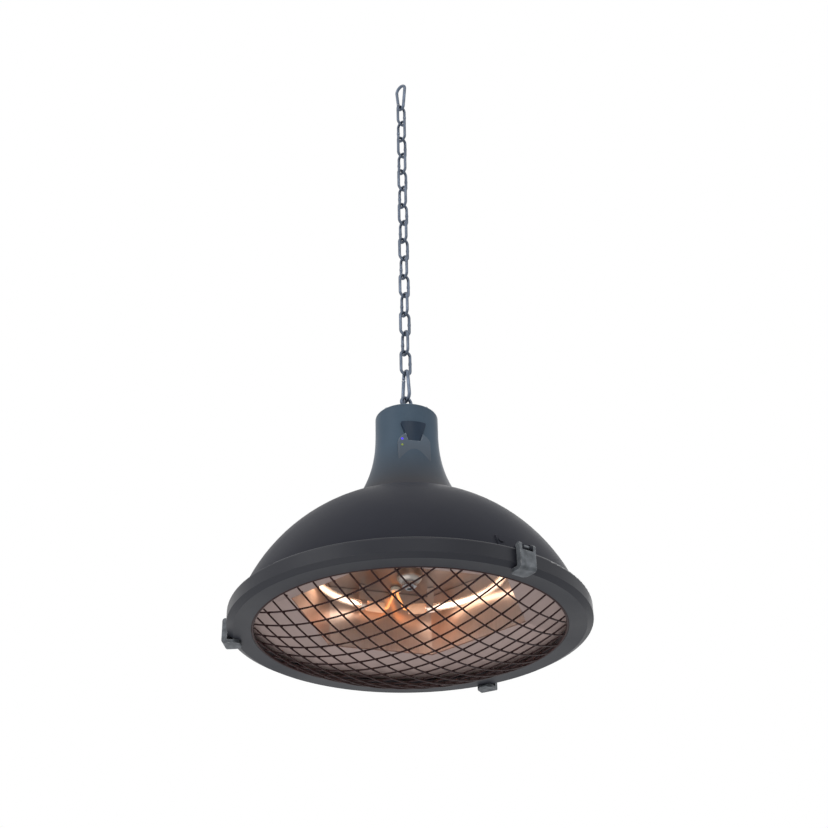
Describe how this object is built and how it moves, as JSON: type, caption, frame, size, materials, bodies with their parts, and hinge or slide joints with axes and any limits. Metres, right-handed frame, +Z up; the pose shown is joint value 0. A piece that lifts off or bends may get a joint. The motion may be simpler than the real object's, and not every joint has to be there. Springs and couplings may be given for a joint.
{
  "type": "hanging patio heater",
  "caption": "Electric patio heater that hangs from a hook and chain: flared neck, round dome, polished reflector, curved halogen tubes, bulged wire grille in a ring held by claw clips.",
  "frame": {"origin": "where the inside top of the upper hook's wide bow rests on its ceiling hook", "axes": "+Z up along the chain, the receiver window faces -Y, +X to the right of the window's viewer"},
  "size_m": [0.4313, 0.4232, 0.9163],
  "materials": {
    "chain_steel": "dark zinc-nickel plated wire, worn bright at the bows",
    "hook_steel": "dark plated wire, slightly worn",
    "neck_enamel": "satin blue-grey enamel",
    "dome_enamel": "satin dark slate enamel",
    "ring_enamel": "satin near-black enamel",
    "grille_enamel": "dark heat-browned enamel",
    "zinc_screws": "zinc plated",
    "gland_plastic": "black glass-filled nylon",
    "seal_rubber": "black seal rubber",
    "lens_plastic": "dark infrared-clear window",
    "pilot_lights": "blue and green lights",
    "board": "green solder mask",
    "glass_fibre": "pressed glass-fibre seal",
    "reflector_aluminium": "polished, warm in the tubes' light",
    "inner_aluminium": "mill finish",
    "inner_steel": "plain galvanized sheet",
    "ceramic": "unglazed steatite",
    "quartz": "clear quartz",
    "tungsten": "glowing coil",
    "lead_sleeve": "glass-fibre sleeve over nickel wire",
    "clip_steel": "weathered plated sheet steel"
  },
  "bodies": {
    "top_hook": {"top_hook_body": "hook_steel", "top_hook_pin": "hook_steel"},
    "top_gate": {"top_hook_gate": "hook_steel"},
    "link_01": {"chain_link_01": "chain_steel"},
    "link_02": {"chain_link_02": "chain_steel"},
    "link_03": {"chain_link_03": "chain_steel"},
    "link_04": {"chain_link_04": "chain_steel"},
    "link_05": {"chain_link_05": "chain_steel"},
    "link_06": {"chain_link_06": "chain_steel"},
    "link_07": {"chain_link_07": "chain_steel"},
    "link_08": {"chain_link_08": "chain_steel"},
    "link_09": {"chain_link_09": "chain_steel"},
    "link_10": {"chain_link_10": "chain_steel"},
    "link_11": {"chain_link_11": "chain_steel"},
    "link_12": {"chain_link_12": "chain_steel"},
    "link_13": {"chain_link_13": "chain_steel"},
    "link_14": {"chain_link_14": "chain_steel"},
    "link_15": {"chain_link_15": "chain_steel"},
    "lower_hook": {"lower_hook_body": "hook_steel", "lower_hook_pin": "hook_steel"},
    "lower_gate": {"lower_hook_gate": "hook_steel"},
    "heater": {"neck_shell": "neck_enamel", "neck_lid": "neck_enamel", "lid_screws": "zinc_screws", "eye_bolt": "hook_steel", "eye_bolt_nut": "zinc_screws", "gland_body": "gland_plastic", "gland_cap": "gland_plastic", "gland_seal": "seal_rubber", "receiver_panel": "neck_enamel", "receiver_lens": "lens_plastic", "pilot_lights": "pilot_lights", "control_board": "board", "dome_shell": "dome_enamel", "grille_ring": "ring_enamel", "ring_seal": "glass_fibre", "grille_rim_wire": "grille_enamel", "grille_wires_lower": "grille_enamel", "grille_wires_upper": "grille_enamel", "reflector_pan": "reflector_aluminium", "reflector_screws": "zinc_screws", "central_rod": "zinc_screws", "hub_cup": "reflector_aluminium", "rod_nuts": "zinc_screws", "heat_shield": "inner_aluminium", "support_plate": "inner_steel", "neck_screws": "zinc_screws", "terminal_block": "ceramic", "quartz_tubes": "quartz", "filaments": "tungsten", "tube_end_caps": "ceramic", "tube_clips": "inner_steel", "lamp_leads": "lead_sleeve", "lead_bushes": "ceramic", "clip_bases": "clip_steel", "clip_pins": "zinc_screws", "clip_rivets": "zinc_screws"},
    "claw_1": {"clip_claw_1": "clip_steel"},
    "claw_2": {"clip_claw_2": "clip_steel"},
    "claw_3": {"clip_claw_3": "clip_steel"}
  },
  "joints": [
    {"name": "top_gate_hinge", "type": "hinge", "parent": "top_hook", "child": "top_gate", "pos_m": [-0.0041, 0.0041, -0.03124], "axis": [0.7071, 0.7071, 0], "range_deg": [0, 25], "stiffness_Nm_per_rad": 0.1, "springref_deg": -8.59},
    {"name": "chain_joint_01", "type": "hinge", "parent": "top_hook", "child": "link_01", "pos_m": [0, 0, -0.04325], "axis": [0.7071, -0.7071, 0], "range_deg": [-12, 12]},
    {"name": "chain_joint_02", "type": "hinge", "parent": "link_01", "child": "link_02", "pos_m": [0, 0, -0.07425], "axis": [0.7071, 0.7071, 0], "range_deg": [-12, 12]},
    {"name": "chain_joint_03", "type": "hinge", "parent": "link_02", "child": "link_03", "pos_m": [0, 0, -0.1055], "axis": [0.6938, -0.7202, 0], "range_deg": [-12, 12]},
    {"name": "chain_joint_04", "type": "hinge", "parent": "link_03", "child": "link_04", "pos_m": [0, 0, -0.13675], "axis": [0.7331, 0.6802, 0], "range_deg": [-12, 12]},
    {"name": "chain_joint_05", "type": "hinge", "parent": "link_04", "child": "link_05", "pos_m": [0, 0, -0.168], "axis": [0.6663, -0.7456, 0], "range_deg": [-12, 12]},
    {"name": "chain_joint_06", "type": "hinge", "parent": "link_05", "child": "link_06", "pos_m": [0, 0, -0.19925], "axis": [0.758, 0.6523, 0], "range_deg": [-12, 12]},
    {"name": "chain_joint_07", "type": "hinge", "parent": "link_06", "child": "link_07", "pos_m": [0, 0, -0.2305], "axis": [0.638, -0.77, 0], "range_deg": [-12, 12]},
    {"name": "chain_joint_08", "type": "hinge", "parent": "link_07", "child": "link_08", "pos_m": [0, 0, -0.26175], "axis": [0.7818, 0.6235, 0], "range_deg": [-12, 12]},
    {"name": "chain_joint_09", "type": "hinge", "parent": "link_08", "child": "link_09", "pos_m": [0, 0, -0.293], "axis": [0.6088, -0.7934, 0], "range_deg": [-12, 12]},
    {"name": "chain_joint_10", "type": "hinge", "parent": "link_09", "child": "link_10", "pos_m": [0, 0, -0.32425], "axis": [0.8046, 0.5938, 0], "range_deg": [-12, 12]},
    {"name": "chain_joint_11", "type": "hinge", "parent": "link_10", "child": "link_11", "pos_m": [0, 0, -0.3555], "axis": [0.5787, -0.8156, 0], "range_deg": [-12, 12]},
    {"name": "chain_joint_12", "type": "hinge", "parent": "link_11", "child": "link_12", "pos_m": [0, 0, -0.38675], "axis": [0.8262, 0.5633, 0], "range_deg": [-12, 12]},
    {"name": "chain_joint_13", "type": "hinge", "parent": "link_12", "child": "link_13", "pos_m": [0, 0, -0.418], "axis": [0.5478, -0.8366, 0], "range_deg": [-12, 12]},
    {"name": "chain_joint_14", "type": "hinge", "parent": "link_13", "child": "link_14", "pos_m": [0, 0, -0.44925], "axis": [0.8467, 0.532, 0], "range_deg": [-12, 12]},
    {"name": "chain_joint_15", "type": "hinge", "parent": "link_14", "child": "link_15", "pos_m": [0, 0, -0.4805], "axis": [0.5161, -0.8565, 0], "range_deg": [-12, 12]},
    {"name": "lower_hook_swing", "type": "hinge", "parent": "link_15", "child": "lower_hook", "pos_m": [0, 0, -0.51175], "axis": [0.866, 0.5, 0], "range_deg": [-12, 12]},
    {"name": "lower_gate_hinge", "type": "hinge", "parent": "lower_hook", "child": "lower_gate", "pos_m": [-0.0029, 0.00502, -0.51931], "axis": [-0.866, -0.5, 0], "range_deg": [0, 25], "stiffness_Nm_per_rad": 0.1, "springref_deg": -8.59},
    {"name": "heater_swing", "type": "hinge", "parent": "lower_hook", "child": "heater", "pos_m": [0, 0, -0.5528], "axis": [0.5, -0.866, 0], "range_deg": [-12, 12]},
    {"name": "claw_hinge_1", "type": "hinge", "parent": "heater", "child": "claw_1", "pos_m": [0.09806, 0.19246, -0.84585], "axis": [0.891, -0.454, 0], "range_deg": [0, 100]},
    {"name": "claw_hinge_2", "type": "hinge", "parent": "heater", "child": "claw_2", "pos_m": [0.12389, -0.17694, -0.84585], "axis": [-0.8192, -0.5736, 0], "range_deg": [0, 100]},
    {"name": "claw_hinge_3", "type": "hinge", "parent": "heater", "child": "claw_3", "pos_m": [-0.21533, 0.01695, -0.84585], "axis": [0.0785, 0.9969, 0], "range_deg": [0, 100]}
  ]
}
